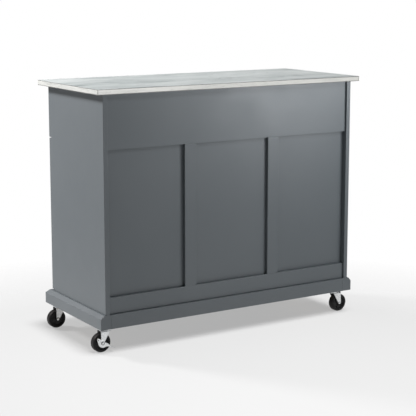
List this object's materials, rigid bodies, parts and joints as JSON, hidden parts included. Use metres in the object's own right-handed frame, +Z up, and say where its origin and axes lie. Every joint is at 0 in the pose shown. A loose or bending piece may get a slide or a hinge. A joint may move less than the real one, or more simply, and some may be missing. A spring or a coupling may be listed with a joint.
{
  "type": "kitchen island cart",
  "caption": "Painted kitchen island cart with a marble-look worktop, overlay drawers and doors, an open bay, a panelled back and swivel casters with brakes.",
  "frame": {"origin": "on the floor under the middle of the worktop", "axes": "+Z up; the drawers and doors face -Y, the panelled back faces +Y, +X is to the right of a person facing the doors"},
  "size_m": [1.07, 0.463, 0.892],
  "materials": {
    "painted_wood": "satin blue-grey paint on board",
    "worktop_laminate": "satin marble-look laminate on board",
    "bare_birch": "bare birch, lightly sanded",
    "zinc_plate": "bright zinc plate",
    "black_tread": "matt moulded black",
    "satin_nickel": "satin nickel plate"
  },
  "bodies": {
    "cabinet": {"worktop": "worktop_laminate", "side_panel_left": "painted_wood", "side_panel_right": "painted_wood", "divider_left": "painted_wood", "divider_right": "painted_wood", "cabinet_floor": "painted_wood", "front_rail_top": "painted_wood", "drawer_rail": "painted_wood", "shelf_left": "painted_wood", "shelf_center": "painted_wood", "shelf_right": "painted_wood", "back_panel": "painted_wood", "back_rail_top": "painted_wood", "back_rail_bottom": "painted_wood", "back_stile_left": "painted_wood", "back_stile_right": "painted_wood", "plinth_front": "painted_wood", "plinth_back": "painted_wood", "plinth_left": "painted_wood", "plinth_right": "painted_wood", "base_board_left": "bare_birch", "base_board_right": "bare_birch", "drawer_runner_left": "bare_birch", "drawer_runner_center": "bare_birch", "drawer_runner_right": "bare_birch", "hinge_left_lower": "zinc_plate", "hinge_left_upper": "zinc_plate", "hinge_right_lower": "zinc_plate", "hinge_right_upper": "zinc_plate", "caster_plate_back_right": "zinc_plate", "caster_plate_front_right": "zinc_plate", "caster_plate_back_left": "zinc_plate", "caster_plate_front_left": "zinc_plate"},
    "drawer_left": {"drawer_front_left": "painted_wood", "drawer_box_left": "bare_birch", "drawer_knob_left": "satin_nickel"},
    "drawer_center": {"drawer_front_center": "painted_wood", "drawer_box_center": "bare_birch", "drawer_knob_center": "satin_nickel"},
    "drawer_right": {"drawer_front_right": "painted_wood", "drawer_box_right": "bare_birch", "drawer_knob_right": "satin_nickel"},
    "door_leaf_left": {"door_left": "painted_wood", "door_knob_left": "satin_nickel"},
    "door_leaf_right": {"door_right": "painted_wood", "door_knob_right": "satin_nickel"},
    "swivel_back_right": {"caster_fork_back_right": "zinc_plate", "caster_axle_back_right": "zinc_plate"},
    "wheel_back_right": {"caster_wheel_back_right": "black_tread"},
    "brake_back_right": {"brake_lever_back_right": "zinc_plate"},
    "swivel_front_right": {"caster_fork_front_right": "zinc_plate", "caster_axle_front_right": "zinc_plate"},
    "wheel_front_right": {"caster_wheel_front_right": "black_tread"},
    "swivel_back_left": {"caster_fork_back_left": "zinc_plate", "caster_axle_back_left": "zinc_plate"},
    "wheel_back_left": {"caster_wheel_back_left": "black_tread"},
    "swivel_front_left": {"caster_fork_front_left": "zinc_plate", "caster_axle_front_left": "zinc_plate"},
    "wheel_front_left": {"caster_wheel_front_left": "black_tread"},
    "brake_front_left": {"brake_lever_front_left": "zinc_plate"}
  },
  "joints": [
    {"name": "drawer_left_slide", "type": "slide", "parent": "cabinet", "child": "drawer_left", "axis": [0, -1, 0], "range_m": [0, 0.25]},
    {"name": "drawer_center_slide", "type": "slide", "parent": "cabinet", "child": "drawer_center", "axis": [0, -1, 0], "range_m": [0, 0.25]},
    {"name": "drawer_right_slide", "type": "slide", "parent": "cabinet", "child": "drawer_right", "axis": [0, -1, 0], "range_m": [0, 0.25]},
    {"name": "door_left_hinge", "type": "hinge", "parent": "cabinet", "child": "door_leaf_left", "pos_m": [-0.503, -0.2045, 0.41], "axis": [0, 0, -1], "range_deg": [0, 105]},
    {"name": "door_right_hinge", "type": "hinge", "parent": "cabinet", "child": "door_leaf_right", "pos_m": [0.503, -0.2045, 0.41], "axis": [0, 0, 1], "range_deg": [0, 105]},
    {"name": "swivel_back_right_turn", "type": "hinge", "parent": "cabinet", "child": "swivel_back_right", "pos_m": [0.476, 0.165, 0.08], "axis": [0, 0, 1], "continuous": true},
    {"name": "wheel_back_right_roll", "type": "hinge", "parent": "swivel_back_right", "child": "wheel_back_right", "pos_m": [0.502, 0.165, 0.033], "axis": [0, 1, 0], "continuous": true},
    {"name": "brake_back_right_press", "type": "hinge", "parent": "swivel_back_right", "child": "brake_back_right", "pos_m": [0.502, 0.165, 0.033], "axis": [0, -1, 0], "range_deg": [0, 12]},
    {"name": "swivel_front_right_turn", "type": "hinge", "parent": "cabinet", "child": "swivel_front_right", "pos_m": [0.476, -0.187, 0.08], "axis": [0, 0, 1], "continuous": true},
    {"name": "wheel_front_right_roll", "type": "hinge", "parent": "swivel_front_right", "child": "wheel_front_right", "pos_m": [0.502, -0.187, 0.033], "axis": [0, 1, 0], "continuous": true},
    {"name": "swivel_back_left_turn", "type": "hinge", "parent": "cabinet", "child": "swivel_back_left", "pos_m": [-0.476, 0.165, 0.08], "axis": [0, 0, 1], "continuous": true},
    {"name": "wheel_back_left_roll", "type": "hinge", "parent": "swivel_back_left", "child": "wheel_back_left", "pos_m": [-0.502, 0.165, 0.033], "axis": [0, 1, 0], "continuous": true},
    {"name": "swivel_front_left_turn", "type": "hinge", "parent": "cabinet", "child": "swivel_front_left", "pos_m": [-0.476, -0.187, 0.08], "axis": [0, 0, 1], "continuous": true},
    {"name": "wheel_front_left_roll", "type": "hinge", "parent": "swivel_front_left", "child": "wheel_front_left", "pos_m": [-0.502, -0.187, 0.033], "axis": [0, 1, 0], "continuous": true},
    {"name": "brake_front_left_press", "type": "hinge", "parent": "swivel_front_left", "child": "brake_front_left", "pos_m": [-0.502, -0.187, 0.033], "axis": [0, 1, 0], "range_deg": [0, 12]}
  ]
}
